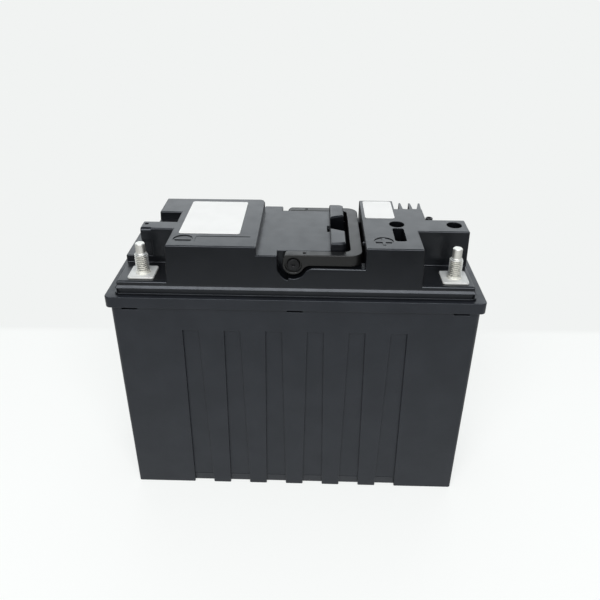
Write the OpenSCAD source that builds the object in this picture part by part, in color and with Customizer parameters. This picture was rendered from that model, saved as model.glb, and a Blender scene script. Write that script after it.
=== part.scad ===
// A 12 volt battery in a black moulded case, with two stud terminals and a folding handle.
// Millimetres. The origin is the middle of the base, +X runs to the positive stud,
// -Y is the front with both studs, and +Z is up.

/* [Case] */
// Width across the rim
case_w = 220; // [212:1:240]
// Depth across the rim, front to back
case_d = 87; // [82:1:100]
// Height of the rim's top face above the base
rim_z = 148; // [130:1:180]
// Height of the rim's outer face
rim_h = 7; // [5:0.5:10]
// How far the rim stands out past the walls
rim_out = 2.2; // [1.5:0.1:3]
// Front and back wall thickness
wall = 3.4; // [3:0.1:4.5]
// End wall thickness
end_wall = 5.2; // [4.8:0.1:6]
// Floor thickness
floor_t = 4; // [3:0.5:8]
// Radius of the case's upright corners
corner_r = 3; // [2:0.5:5]
// Lean of each wall from the rim to the base
wall_lean = 0.5; // [0:0.1:1]

/* [Case grooves] */
// Upright grooves on the front and on the back
groove_count = 6; // [4:1:7]
// Distance between grooves
groove_pitch = 24.8; // [20:0.2:28]
// Groove width at its top
groove_top_w = 9.5; // [6:0.1:12]
// Groove width at the base
groove_foot_w = 13.2; // [8:0.1:16]
// Groove depth at its top
groove_top_depth = 0.5; // [0.3:0.1:1]
// Groove depth just above the foot
groove_depth = 1.5; // [1.1:0.1:1.8]
// Extra depth where the groove kicks in at the base
groove_kick = 0.9; // [0.3:0.1:1]
// Height of the kicked-in foot
groove_kick_h = 7; // [4:0.5:10]
// Plain wall between the rim and the top of a groove
groove_drop = 16; // [8:1:30]

/* [Cover] */
// Rim left bare at each end of the cover
ledge_x = 5.4; // [5:0.1:6]
// Rim left bare in front of and behind the cover
ledge_y = 3.1; // [2.5:0.1:3.5]
// Thickness of the lip that rests on the rim
lip_h = 1.2; // [0.8:0.1:2]
// Height of the upright face above the lip
step_h = 2.6; // [1.5:0.1:4]
// How far the upright face stands in from the lip
step_in = 0.7; // [0.4:0.1:1.5]
// Height of the polished bevel
bevel_h = 1.4; // [0.8:0.1:2]
// Width of the polished bevel
bevel_in = 1; // [0.6:0.1:1.5]
// Height of the terminal decks above the rim
deck_h = 8; // [7:0.1:10]
// Height of the decks behind the terminals
side_deck_h = 12.7; // [11:0.1:15]
// Height of the platform that the handle lies round
platform_h = 25.4; // [24:0.1:28]
// Height of the two tall blocks
block_h = 30.5; // [29:0.1:36]
// Mould draft of the blocks' walls, in degrees
block_draft = 3; // [1:0.5:4]
// Wall thickness of the cover
cover_wall = 2.6; // [2:0.1:3]
// Left edge of the platform
platform_x = -21.8; // [-26:0.2:-18]
// Width of the platform
platform_w = 42; // [38:0.5:46]
// Width of the finger well between platform and right block
well_w = 19.6; // [18:0.2:24]
// Deck thickness left below the finger well
well_floor = 2.5; // [2:0.1:3]

/* [Cover arms] */
// Front face of the left arm, back from the terminal studs
arm_back = 14.2; // [12.5:0.2:18]
// Depth of the left arm, front to back
left_arm_d = 10.7; // [9:0.1:15]
// Reach of the left arm's solid root
left_arm_root = 13.4; // [10:0.1:16]
// Reach of the overhanging hook at the left arm's end
left_hook = 6.4; // [4:0.2:8]
// Thickness of that hook
left_hook_h = 8; // [5:0.5:10]
// Rounding of the hook's top front edge
left_hook_r = 2.2; // [1:0.1:4]
// Setback of the right arm's front face from the left arm's
right_arm_set = 1.9; // [0:0.1:4]
// Depth of the right arm, front to back
right_arm_d = 18; // [15:0.5:22]
// Length of the recess between the left arm and the block behind it
left_recess_d = 15.7; // [10:0.1:18]
// Depth of that recess below the blocks' tops
left_recess_h = 5.1; // [3:0.1:8]
// How far the left block's back part stands out to the left
left_back_out = 13.5; // [8:0.5:15]
// Setback of the left block's back wall from the right block's
left_back_set = 1.5; // [1:0.1:4]
// Rounding of the left block's back corner beside the platform
block_corner_r = 4; // [2:0.5:6]
// How far the right block's middle stands out past its front
right_mid_out = 7; // [4:0.5:10]
// Width of the right block's tall back part
right_back_w = 21.4; // [18:0.1:24]
// Depth of the bay that holds the fins
fin_bay = 14; // [10:0.5:18]
// Number of fins in the bay
fin_count = 3; // [2:1:4]
// Length of a fin
fin_len = 10; // [6:0.5:13]
// Thickness of a fin at its root
fin_t = 2.3; // [1.5:0.1:3]
// Thickness of the outermost fin at its root
fin_end_t = 3.4; // [2:0.1:4]
// Thickness of a fin at its round tip
fin_tip_t = 1.2; // [0.6:0.1:1.4]
// Radius of the deep screw wells
screw_well_r = 4.5; // [4.2:0.1:5]
// Length of the open slot in the right block
slot_len = 18.5; // [10:0.5:19]
// Width of the open slot
slot_w = 6.6; // [4:0.2:8]
// Depth of the open slot
slot_depth = 12; // [6:0.5:16]

/* [Handle] */
// Width of the handle's grip bar
grip_w = 6.9; // [5:0.1:9]
// Height of the handle's bar and arms
handle_h = 6.8; // [5.5:0.1:7]
// Thickness of each arm
handle_arm = 5.9; // [5:0.1:7]
// Setback of the handle from the terminal deck's edge
handle_set = 2.2; // [1.6:0.1:3]
// Outer corner radius of the handle
handle_corner_r = 7; // [4:0.5:9]
// Radius of the eye round each pivot pin
eye_r = 6.2; // [5.8:0.1:7]
// Fillet under each arm, where it joins its eye
eye_fillet = 5; // [3:0.5:7]
// Pivot, right of the platform's left edge
pivot_in = 20.9; // [19:0.1:23]
// Pivot pin radius
pin_r = 3.5; // [2.5:0.1:4]
// Recess round the pin's end, past the pin
pin_recess = 1.2; // [0.8:0.1:1.5]
// How far each pin enters the cover
pin_seat = 7; // [5:0.5:9]
// Height of the finger lobes above the platform
lobe_rise = 4.8; // [2:0.1:5]
// Width of the finger lobes at their top
lobe_w = 8.6; // [7:0.1:9]
// Gap between the lobes at the platform
lobe_gap = 16; // [12:0.5:20]
// Gap between the lobes at the grip bar
lobe_gap_out = 25; // [20:0.5:28]

/* [Terminals] */
// Terminal stud radius
stud_r = 4; // [3:0.5:5]
// Length of the threaded part above the plate
stud_len = 12.5; // [10:0.5:16]
// Radius of the plain tip
tip_r = 2.85; // [2:0.05:3.5]
// Length of the plain tip
tip_len = 5.8; // [3:0.2:8]
// Radius of the stud's head under the plate
stud_head_r = 6; // [5.5:0.1:6.5]
// Height of the stud's head
stud_head_h = 2; // [1.5:0.1:2.5]
// Side of the square terminal plate
plate_size = 15.2; // [14.5:0.1:17]
// Thickness of the terminal plate
plate_t = 1.2; // [0.8:0.1:2]
// Negative stud, in from the rim's left end
negative_in = 20.6; // [19:0.1:23]
// Positive stud, in from the rim's right end
positive_in = 17.6; // [16.5:0.1:20]
// Both studs, back from the rim's front edge
stud_back = 15.5; // [14:0.1:18]
// Clear deck between the negative plate and the left block
negative_gap = 9.1; // [6:0.1:11]
// Clear deck between the positive plate and the right block
positive_gap = 12.8; // [10:0.1:15]

/* [Cells] */
// Cells in series
cell_count = 4; // [4:1:4]
// Space from the cells' top to the rim's top
cell_headroom = 22; // [20:0.5:30]
// Clearance between the cells and the long walls
cell_side_gap = 2.5; // [2.3:0.1:4]
// Thickness of the insulating sheet between cells
spacer_t = 1.6; // [1:0.1:3]
// Thickness of the foam pad at each end of the row
end_pad_t = 4; // [2:0.5:8]
// Radius of a cell's terminal
post_r = 6; // [5:0.5:7]
// Height of a cell's terminal
post_h = 3; // [2:0.5:5]
// Cell terminals, in from the cells' front and back faces
post_in = 13.4; // [12:0.1:15]
// Thickness of the links and bars between cells
link_t = 2; // [1.5:0.1:3]

/* [Electronics] */
// Thickness of the circuit board
board_t = 1.6; // [1.2:0.2:2.4]
// Width of the circuit board
board_w = 112; // [96:1:124]
// Depth of the circuit board
board_d = 60; // [58:1:64]
// Board underside, below the rim's top
board_drop = 7; // [6:0.5:9]
// Number of power transistors on the board
switch_count = 6; // [4:1:7]

/* [Hidden] */
$fn = 64;

// Clearances
fit_gap = 0.05;
part_gap = 0.3;
swing_gap = 0.6;
cut = 1;

// Case: half sizes of the rim, the walls and the room inside
rim_x = case_w / 2;
rim_y = case_d / 2;
tub_x = rim_x - rim_out;
tub_y = rim_y - rim_out;
foot_x = tub_x - wall_lean;
foot_y = tub_y - wall_lean;
room_x = tub_x - end_wall;
room_y = tub_y - wall;
room_r = max(corner_r - wall, 1);

// Snap tongues of the cover and their windows in the case
snap_w = 8.5;
snap_t = 1.8;
snap_root_t = 3;
snap_tail = 1;
snap_nib = 1.6;
snap_nib_h = 1.2;
snap_drop = 2.2;
snap_window_w = snap_w + 2 * part_gap;
snap_window_h = snap_nib_h + 2 * part_gap;
snap_window_z = rim_z - rim_h - snap_drop;
snap_nib_z = snap_window_z + part_gap;
snap_x = room_x - room_r - snap_window_w / 2 - part_gap;

// Gasket in the rim
gasket_land = 0.4;
gasket_w = 1.2;
gasket_h = 1.5;

// Cover: half sizes and levels
lip_x = rim_x - ledge_x;
lip_y = rim_y - ledge_y;
step_x = lip_x - step_in;
step_y = lip_y - step_in;
deck_x = step_x - bevel_in;
deck_y = step_y - bevel_in;
step_z = rim_z + lip_h + step_h;
bevel_z = step_z + bevel_h;
deck_z = rim_z + deck_h;
side_deck_z = rim_z + side_deck_h;
platform_z = rim_z + platform_h;
block_z = rim_z + block_h;
flare = (block_h - deck_h) * tan(block_draft);
block_y = deck_y - flare;
hollow_in = 2;
hollow_x = room_x - hollow_in;
hollow_y = room_y - hollow_in;
hollow_z = deck_z - cover_wall;

// Terminals
negative_x = negative_in - rim_x;
positive_x = rim_x - positive_in;
stud_y = stud_back - rim_y;
plate_z = deck_z + plate_t;
plate_r = 1.5;
leg_inset = 1.6;
leg_w = plate_size - 2 * leg_inset;
leg_y = stud_y + plate_size / 2;
collar_step = 0.2;
collar_r = stud_r + collar_step;
stud_z = deck_z - stud_head_h;
stud_top_z = plate_z + stud_len;
boss_wall = 2;
boss_z = stud_z - boss_wall;

// Blocks, from left to right
left_x = negative_x + plate_size / 2 + negative_gap;
platform_x1 = platform_x + platform_w;
right_x = platform_x1 + well_w;
right_x1 = positive_x - plate_size / 2 - positive_gap;
right_mid_x1 = right_x1 + right_mid_out;
right_back_x1 = right_x + right_back_w;
arm_y = stud_y + arm_back;
left_arm_y1 = arm_y + left_arm_d;
left_arm_x = left_x - left_arm_root;
left_back_y = left_arm_y1 + left_recess_d;
left_back_x = left_x - left_back_out;
left_block_y1 = block_y - left_back_set;
recess_z = block_z - left_recess_h;
hook_set = 1.2;
hook_hole_r = 1.1;
hook_hole_depth = 4;
hook_hole_in = 2.5;
hook_hole_back = 6.9;
right_arm_y = arm_y + right_arm_set;
right_arm_y1 = right_arm_y + right_arm_d;
arm_lean = 0.6;
right_arm_x1 = deck_x - arm_lean;
fin_y = block_y - fin_bay;
fin_first = 4.5;
fin_tip_in = 0.8;
fin_x = right_back_x1 + fin_first;
fin_step = (right_mid_x1 - fin_tip_in - fin_x) / (fin_count - 1);
well_z = rim_z + lip_h + well_floor;

// Deep wells, one in the right block and one in the right arm, and their screws
screw_back = 0.95;
block_screw_in = 11.8;
arm_screw_in = 7.6;
screw_y = right_arm_y + right_arm_d / 2 + screw_back;
screw_places = [[right_x1 - block_screw_in, screw_y], [right_arm_x1 - arm_screw_in, screw_y]];
screw_head_gap = 0.8;
screw_head_r = screw_well_r - screw_head_gap;
screw_head_h = 2.6;
screw_r = 2;
screw_len = 12;
tube_wall = 2;
screw_floor_z = deck_z + tube_wall;
screw_post_r = screw_r + tube_wall;
slot_gap = 1.5;
slot_r = 1.8;
slot_low = [screw_places[0].x - slot_w / 2, screw_y - screw_well_r - slot_gap - slot_len];

// Handle: pivot, arms and grip bar when folded flat
handle_inner_r = 3;
eye_land = 0.1;
grip_gap = 1.5;
heel_in = 0.3;
pivot_x = platform_x + pivot_in;
pivot_z = platform_z - eye_r - eye_land;
handle_y = deck_y - handle_set;
handle_in_y = handle_y - handle_arm;
handle_x1 = right_x - grip_gap;
handle_in_x = handle_x1 - grip_w;
handle_z = platform_z - handle_h;
heel_x = pivot_x - eye_r + heel_in;
heel_r = 3;
bay_y = handle_in_y - part_gap;
heel_sweep = norm([pivot_x - heel_x, platform_z - pivot_z]);
bay_r = heel_sweep + swing_gap;
sill_z = handle_z - swing_gap;

// Fillet's centre from the pivot, sunk a little so that its face crosses the eye's and the arm's
fillet_sink = 0.03;
fillet_z = handle_z - pivot_z - eye_fillet + fillet_sink;
fillet_x = sqrt(pow(eye_r + eye_fillet - fillet_sink, 2) - pow(fillet_z, 2));

// Bay round the eye, seen from the front: where the heel's sweep stops and where the ramp to the sill starts
heel_stop = 250;
ramp_start = -21;
eye_bay_gap = 1.5;
eye_bay_r = eye_r + eye_bay_gap;
ramp_low = eye_bay_r * [cos(ramp_start), sin(ramp_start)];
ramp_high = [fillet_x + swing_gap, sill_z - pivot_z];

pin_socket_r = pin_r + fit_gap;
pin_boss_wall = 3;
pin_boss_r = pin_r + pin_boss_wall;
pin_sink = 0.2;
pin_tip_r = 0.9;
lobe_z = platform_z + lobe_rise;
lobe_lean = 1.1;
lobe_corner_gap = 1.5;
lobe_r = handle_inner_r + lobe_corner_gap;
lobe_y = handle_in_y - swing_gap;
dimple_r = 0.8;
dimple_depth = 1.5;

// Small notch in the platform's edge with a rib beside it, and the nub over the folded bar's end
notch_low_y = -3;
notch_high_y = 6;
notch_depth = 1.6;
notch_h = 4;
rib_out = 1.2;
rib_w = 2;
nub_out = 1;
nub_size = 2;
nub_y = -23;

// Vent nozzle on the deck behind the right arm
vent_r = 2.3;
vent_bore_r = 1.3;
vent_flange_r = 3.4;
vent_flange_h = 1.5;
vent_side_gap = 2.5;
vent_back_gap = 11.7;
vent_h = 10.6;
vent_tail = 6;
vent_x = right_mid_x1 + vent_flange_r + vent_side_gap;
vent_y = deck_y - vent_back_gap;
vent_foot_z = side_deck_z - cover_wall - vent_tail;
vent_z = side_deck_z + vent_h;

// Labels
label_t = 0.2;
label_r = 1.5;
rating_label_w = 35.6;
rating_label_side = 10.8;
rating_label_front = 6.6;
rating_label_edge = 5.4;
rating_label_low = [platform_x - rating_label_side - rating_label_w, arm_y - rating_label_front];
rating_label_back = left_block_y1 - rating_label_edge;
code_label_w = 18.2;
code_label_edge = 2;
code_label_front = 0.9;
code_label_low = [right_x + code_label_edge, right_arm_y1 + code_label_front];
code_label_back = block_y - code_label_edge;

// Cells
cell_z1 = rim_z - cell_headroom;
cell_d = 2 * (room_y - cell_side_gap);
cell_t = (2 * room_x - 2 * end_pad_t - (cell_count - 1) * spacer_t) / cell_count;
cell_step = cell_t + spacer_t;
cell_r = 3;
post_y = cell_d / 2 - post_in;
link_z = cell_z1 + post_h;
link_edge = 1;
link_w = 2 * (post_r + link_edge);
function cell_x(i) = (i - (cell_count - 1) / 2) * cell_step;
function link_side(i) = i % 2 == 0 ? 1 : -1;

// Electronics
board_z = rim_z - board_drop;
board_z1 = board_z + board_t;
board_edge = 2.8;
board_x1 = cell_x(cell_count - 2) + cell_step / 2 + board_edge;
board_x = board_x1 - board_w;
board_y = board_d / 2;
stand_r = 3;
stand_hole_r = 1.2;
stand_gap = 4;
stand_x = cell_x(cell_count - 2) + post_r + stand_r + stand_gap;
stand_places = [[-stand_x, -post_y], [stand_x, -post_y], [-stand_x, 0], [stand_x, 0], [0, post_y]];
board_screw_r = stand_hole_r - fit_gap;
board_screw_head_r = 2.4;
board_screw_head_h = 1.8;
board_screw_len = 7;
pad_gap = 2;
pad_x1 = -stand_x - stand_r - pad_gap;
bar_w = 7;
bar_front_y = -post_y - link_w / 2;
output_w = 12;
switch_size = [9, 11, 4.4];
switch_step = 11.5;
switch_gap = 2.1;
switch_low = [-stand_x + stand_r + switch_gap, post_y - board_screw_head_r - switch_gap - switch_size.y];
shunt_size = [16, 8, 1.4];
shunt_low = [-stand_x + stand_r + switch_gap, switch_low.y - switch_gap - shunt_size.y];
sense_r = 0.9;
sense_h = board_z - link_z - link_t;
sense_in = 4;
sense_end_x = board_x1 - sense_in;
sense_places = concat(
    [for (i = [0 : cell_count - 2]) [cell_x(i) + cell_step / 2, link_side(i) * post_y]],
    [[sense_end_x, bar_front_y + bar_w / 2]]
);

// A plate or prism with round upright corners, centred on the origin
module round_plate(half_x, half_y, h, r) {
    linear_extrude(height = h) {
        square([2 * half_x, 2 * (half_y - r)], center = true);
        square([2 * (half_x - r), 2 * half_y], center = true);
        for (sx = [-1, 1], sy = [-1, 1]) {
            translate([sx * (half_x - r), sy * (half_y - r)]) circle(r);
        }
    }
}

// A rectangle with round corners, from its lower left corner
module round_rect(size, r) {
    translate([r, 0]) square([size.x - 2 * r, size.y]);
    translate([0, r]) square([size.x, size.y - 2 * r]);
    for (x = [r, size.x - r], y = [r, size.y - r]) {
        translate([x, y]) circle(r);
    }
}

// A tongue along X, square at x0 and with round corners at x1
module tongue(x0, x1, half_y, r) {
    translate([x0, -half_y]) square([x1 - r - x0, 2 * half_y]);
    translate([x0, -half_y + r]) square([x1 - x0, 2 * (half_y - r)]);
    for (side = [-1, 1]) {
        translate([x1 - r, side * (half_y - r)]) circle(r);
    }
}

// A box between two corners
module box(low, high) {
    translate(low) cube(high - low);
}

// A block between two corners whose walls lean out by spread at the bottom, along X and along Y
module drafted(low, high, spread) {
    intersection() {
        translate([0, high.y + spread.y, 0]) rotate([90, 0, 0])
            linear_extrude(height = high.y - low.y + 2 * spread.y)
                polygon([
                    [low.x - spread.x, low.z], [high.x + spread.x, low.z],
                    [high.x, high.z], [low.x, high.z]
                ]);
        translate([low.x - spread.x, 0, 0]) rotate([90, 0, 90])
            linear_extrude(height = high.x - low.x + 2 * spread.x)
                polygon([
                    [low.y - spread.y, low.z], [high.y + spread.y, low.z],
                    [high.y, high.z], [low.y, high.z]
                ]);
    }
}

// A drafted block that stands on the terminal deck and ends at the blocks' height
module tall_block(low, high, spread) {
    drafted([low.x, low.y, deck_z], [high.x, high.y, block_z], spread);
}

// A cylinder along Y between two depths
module round_bar(x, z, y0, y1, r) {
    translate([x, y1, z]) rotate([90, 0, 0]) cylinder(r = r, h = y1 - y0);
}

// One groove of the front wall, deeper towards the base and kicked in at its foot
module groove() {
    length = rim_z - rim_h - groove_drop;
    slope = atan((groove_depth - groove_top_depth - wall_lean) / length);
    face_y = -foot_y;
    translate([0, face_y + groove_depth, 0]) rotate([90 + slope, 0, 0])
        linear_extrude(height = 3 * groove_depth)
            polygon([
                [-groove_foot_w / 2, -cut], [groove_foot_w / 2, -cut],
                [groove_top_w / 2, length], [-groove_top_w / 2, length]
            ]);
    translate([-groove_foot_w / 2, 0, 0]) rotate([90, 0, 90])
        linear_extrude(height = groove_foot_w)
            polygon([
                [face_y - cut, -cut], [face_y + groove_depth + groove_kick, -cut],
                [face_y + groove_depth + groove_kick, 0],
                [face_y + groove_depth, groove_kick_h], [face_y - cut, groove_kick_h]
            ]);
}

// Runs its children at each snap tongue of the front wall, and turned round for the back wall
module at_snaps() {
    for (turn = [0, 180], x = [-snap_x, 0, snap_x]) {
        rotate([0, 0, turn]) translate([x, -room_y, 0]) children();
    }
}

// Open-topped case with a stout rim, upright grooves and windows for the cover's snaps
module case_tub() {
    wall_z = rim_z - rim_h;
    color("#26272a") difference() {
        union() {
            intersection() {
                round_plate(tub_x, tub_y, rim_z, corner_r);
                mirror([0, 0, 1])
                    drafted([-foot_x, -foot_y, -rim_z], [foot_x, foot_y, 0], [wall_lean, wall_lean]);
            }
            translate([0, 0, wall_z]) round_plate(rim_x, rim_y, rim_h, corner_r);
        }
        translate([0, 0, floor_t]) round_plate(room_x, room_y, rim_z, room_r);
        translate([0, 0, rim_z - gasket_h]) gasket_ring(gasket_h + cut, fit_gap);
        for (turn = [0, 180], i = [0 : groove_count - 1]) {
            rotate([0, 0, turn]) translate([(i - (groove_count - 1) / 2) * groove_pitch, 0, 0]) groove();
        }
        at_snaps() translate([-snap_window_w / 2, -2 * wall, snap_window_z])
            cube([snap_window_w, 3 * wall, snap_window_h]);
    }
}

// Ring that follows the rim just outside the room
module gasket_ring(h, gap) {
    inner = gasket_land - gap;
    outer = gasket_land + gasket_w + gap;
    difference() {
        round_plate(room_x + outer, room_y + outer, h, room_r + outer);
        translate([0, 0, -cut])
            round_plate(room_x + inner, room_y + inner, h + 2 * cut, room_r + inner);
    }
}

// Rubber seal in the rim, pressed by the cover's lip
module cover_gasket() {
    color("#151515") translate([0, 0, rim_z - gasket_h]) gasket_ring(gasket_h, 0);
}

// Outer form of the cover: lip, upright step, bevel, decks, blocks, arms and fins
module cover_form() {
    translate([0, 0, rim_z]) round_plate(lip_x, lip_y, lip_h, corner_r);
    translate([0, 0, rim_z]) round_plate(step_x, step_y, lip_h + step_h, corner_r);
    drafted([-deck_x, -deck_y, step_z], [deck_x, deck_y, bevel_z], [bevel_in, bevel_in]);
    box([-deck_x, -deck_y, rim_z], [deck_x, deck_y, deck_z]);
    box([-deck_x, arm_y, rim_z], [left_x, deck_y, side_deck_z]);
    box([right_x1, right_arm_y1, rim_z], [deck_x, deck_y, side_deck_z]);
    difference() {
        tall_block([left_x, -block_y], [right_x1, block_y], [flare, flare]);
        box([left_x - flare - cut, left_block_y1, deck_z - cut], [platform_x, rim_y, block_z + cut]);
        box([right_back_x1, fin_y, deck_z - cut], [rim_x, rim_y, block_z + cut]);
    }
    tall_block([left_arm_x, arm_y], [left_x + cut, left_arm_y1], [flare, 0]);
    left_arm_hook();
    difference() {
        tall_block([left_back_x, left_arm_y1 - cut], [left_x + cut, left_block_y1], [flare, 0]);
        box([left_back_x - flare - cut, left_arm_y1, recess_z], [left_x, left_back_y, block_z + cut]);
    }
    tall_block([right_x1 - cut, right_arm_y], [right_mid_x1, fin_y], [flare, 0]);
    tall_block([right_x1 - cut, right_arm_y], [right_arm_x1, right_arm_y1], [arm_lean, 0]);
    for (i = [0 : fin_count - 1]) {
        last = i == fin_count - 1;
        translate([fin_x + i * fin_step, fin_y, deck_z])
            fin(last ? fin_end_t - fin_tip_in : fin_t / 2, last ? fin_tip_in : fin_t / 2);
    }
}

// Hook at the left arm's end, rounded along its top front edge, on a foot that is set back a little
module left_arm_hook() {
    low_z = block_z - left_hook_h;
    end_x = left_arm_x - left_hook;
    box([end_x, arm_y + hook_set, deck_z], [left_arm_x + cut, left_arm_y1, low_z + cut]);
    translate([end_x, arm_y, low_z]) rotate([90, 0, 90])
        linear_extrude(height = left_hook + cut) {
            square([left_arm_d, left_hook_h - left_hook_r]);
            translate([left_hook_r, 0]) square([left_arm_d - left_hook_r, left_hook_h]);
            translate([left_hook_r, left_hook_h - left_hook_r]) circle(left_hook_r);
        }
}

// One upright fin that thins towards its round tip, with its root's reach to the left and to the right
module fin(root_left, root_right) {
    tip_half = fin_tip_t / 2;
    tip_y = fin_len - tip_half;
    linear_extrude(height = block_z - deck_z) {
        polygon([
            [-root_left, -cut], [root_right, -cut], [root_right, 0],
            [tip_half, tip_y], [-tip_half, tip_y], [-root_left, 0]
        ]);
        translate([0, tip_y]) circle(tip_half);
    }
}

// Outline of the bay round the pivot, seen from the front: the eye's circle, a wider one over the heel's
// sweep and a ramp up to the sill
module bay_outline() {
    far = 2 * bay_r;
    top = platform_z - pivot_z;
    circle(eye_bay_r);
    intersection() {
        circle(bay_r);
        polygon([
            [0, 0], [0, far], [-far, far], [-far, -far], [far * cos(heel_stop), far * sin(heel_stop)]
        ]);
    }
    polygon([[0, 0], ramp_low, ramp_high, [ramp_high.x, top], [0, top]]);
}

// Room round the platform: a bay for each eye of the handle, an open bay for each arm and the bar
module handle_room() {
    bay_x = pivot_x - bay_r;
    for (side = [0, 1]) mirror([0, side, 0]) {
        translate([pivot_x, -bay_y, pivot_z]) rotate([90, 0, 0])
            linear_extrude(height = rim_y - bay_y) bay_outline();
        box([bay_x, -rim_y, pivot_z], [right_x, -bay_y, block_z + cut]);
        box([pivot_x, -rim_y, sill_z], [right_x, -bay_y, block_z + cut]);
    }
    box([platform_x, -rim_y, platform_z], [right_x, rim_y, block_z + cut]);
    difference() {
        corner = [platform_x - block_corner_r, left_block_y1 - block_corner_r];
        box([corner.x, corner.y, platform_z], [platform_x + cut, rim_y, block_z + cut]);
        translate([corner.x, corner.y, deck_z]) cylinder(r = block_corner_r, h = block_h);
    }
    box([platform_x1, -bay_y, well_z], [right_x, bay_y, block_z + cut]);
    box([platform_x1 - notch_depth, notch_low_y, platform_z - notch_h],
        [right_x, notch_high_y, block_z + cut]);
}

// Forms that stand in the finger well: two lobes with a V-shaped gap, a rib and the bar's nub
module well_forms() {
    reach = lobe_w + lobe_lean;
    lobe_x1 = platform_x1 + lobe_w;
    difference() {
        intersection() {
            drafted([platform_x1, -lobe_y, well_z - cut], [lobe_x1, lobe_y, lobe_z], [lobe_lean, 0]);
            linear_extrude(height = lobe_z + cut)
                tongue(platform_x1 - lobe_lean, platform_x1 + reach, lobe_y, lobe_r);
        }
        translate([platform_x1, 0, well_z]) linear_extrude(height = lobe_z)
            polygon([
                [0, -lobe_gap / 2], [reach, -lobe_gap_out / 2],
                [reach, lobe_gap_out / 2], [0, lobe_gap / 2]
            ]);
    }
    box([platform_x1 - cover_wall, notch_high_y - rib_w, well_z - cut],
        [platform_x1 + rib_out, notch_high_y, platform_z - cut]);
    box([right_x - nub_out, nub_y, platform_z],
        [right_x + cut, nub_y + nub_size, platform_z + nub_size]);
}

// Inside of the cover, open to the case below, with the bosses and tubes that stay
module cover_hollow() {
    top = block_z - cover_wall;
    inset = cover_wall + flare;
    difference() {
        union() {
            box([-hollow_x, -hollow_y, rim_z - cut], [platform_x1 - cover_wall, hollow_y, hollow_z]);
            box([right_x + cover_wall, -hollow_y, rim_z - cut], [hollow_x, hollow_y, hollow_z]);
            box([-hollow_x, -hollow_y, rim_z - cut], [hollow_x, hollow_y, rim_z + lip_h]);
            box([left_x + cover_wall, -block_y + cover_wall, rim_z],
                [platform_x - cover_wall, left_block_y1 - cover_wall, top]);
            box([platform_x - 2 * cover_wall, -bay_y + cover_wall, rim_z],
                [platform_x1 - cover_wall, bay_y - cover_wall, platform_z - cover_wall]);
            box([right_x + cover_wall, -block_y + cover_wall, rim_z],
                [right_x1 - cover_wall, fin_y - cover_wall, top]);
            box([right_x + cover_wall, -block_y + cover_wall, rim_z],
                [right_back_x1 - cover_wall, block_y - cover_wall, top]);
            box([right_x1 - inset, right_arm_y + cover_wall, rim_z],
                [right_arm_x1 - inset, right_arm_y1 - cover_wall, top]);
        }
        for (x = [negative_x, positive_x]) {
            reach = plate_size / 2 + boss_wall;
            box([x - reach, stud_y - reach, boss_z], [x + reach, stud_y + reach, deck_z]);
        }
        for (place = screw_places) {
            translate([place.x, place.y, screw_floor_z - cover_wall])
                cylinder(r = screw_well_r + tube_wall, h = block_h);
        }
        translate([slot_low.x - tube_wall, slot_low.y - tube_wall, block_z - slot_depth - tube_wall])
            cube([slot_w + 2 * tube_wall, slot_len + 2 * tube_wall, slot_depth + tube_wall]);
        for (side = [0, 1]) mirror([0, side, 0]) {
            round_bar(pivot_x, pivot_z, -bay_y, -bay_y + pin_seat + tube_wall, pin_boss_r);
        }
    }
}

// Holes through and into the cover: screw wells, slot, pin sockets, stud seats and vent seat
module cover_holes() {
    for (place = screw_places) translate([place.x, place.y, 0]) {
        translate([0, 0, screw_floor_z]) cylinder(r = screw_well_r, h = block_h);
        translate([0, 0, rim_z]) cylinder(r = screw_r + part_gap, h = block_h);
    }
    translate([slot_low.x, slot_low.y, block_z - slot_depth])
        linear_extrude(height = slot_depth + cut) round_rect([slot_w, slot_len], slot_r);
    for (side = [0, 1]) mirror([0, side, 0]) {
        round_bar(pivot_x, pivot_z, -bay_y - cut, -bay_y + pin_seat, pin_socket_r);
    }
    for (x = [negative_x, positive_x]) {
        translate([x, stud_y, stud_z]) cylinder(r = stud_head_r + fit_gap, h = block_h);
        box([x - leg_w / 2 - fit_gap, leg_y - plate_t - fit_gap, rim_z],
            [x + leg_w / 2 + fit_gap, leg_y + fit_gap, deck_z + cut]);
    }
    translate([vent_x, vent_y, rim_z]) cylinder(r = vent_r + fit_gap, h = block_h);
    translate([left_arm_x - left_hook + hook_hole_in, arm_y + hook_hole_back, block_z - hook_hole_depth])
        cylinder(r = hook_hole_r, h = block_h);
}

// One moulding: lip, bevel, terminal decks, electronics housing, finger well and snap tongues
module top_cover() {
    color("#2b2c2f") {
        difference() {
            union() {
                difference() {
                    cover_form();
                    handle_room();
                }
                well_forms();
            }
            cover_hollow();
            cover_holes();
        }
        at_snaps() {
            translate([-snap_w / 2, fit_gap, snap_nib_z - snap_tail])
                cube([snap_w, snap_t, rim_z - snap_nib_z + snap_tail]);
            translate([-snap_w / 2, fit_gap - snap_nib, snap_nib_z])
                cube([snap_w, snap_nib + snap_t, snap_nib_h]);
            translate([-snap_w / 2, fit_gap, rim_z - cut])
                cube([snap_w, snap_root_t, lip_h + cut]);
        }
    }
}

// Pan-head screws at the bottom of the deep wells, driven into the cell carrier's posts
module cover_screws() {
    color("#55575a") for (place = screw_places) {
        translate([place.x, place.y, screw_floor_z]) {
            cylinder(r = screw_head_r, h = screw_head_h);
            translate([0, 0, -screw_len]) cylinder(r = screw_r, h = screw_len + cut);
        }
    }
}

// Hose nozzle for the cells' vent gas, behind the right arm
module vent_nozzle() {
    color("#1f2022") translate([vent_x, vent_y, 0]) difference() {
        union() {
            translate([0, 0, vent_foot_z]) cylinder(r = vent_r, h = vent_z - vent_foot_z);
            translate([0, 0, side_deck_z]) cylinder(r = vent_flange_r, h = vent_flange_h);
        }
        translate([0, 0, rim_z]) cylinder(r = vent_bore_r, h = block_h);
    }
}

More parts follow.
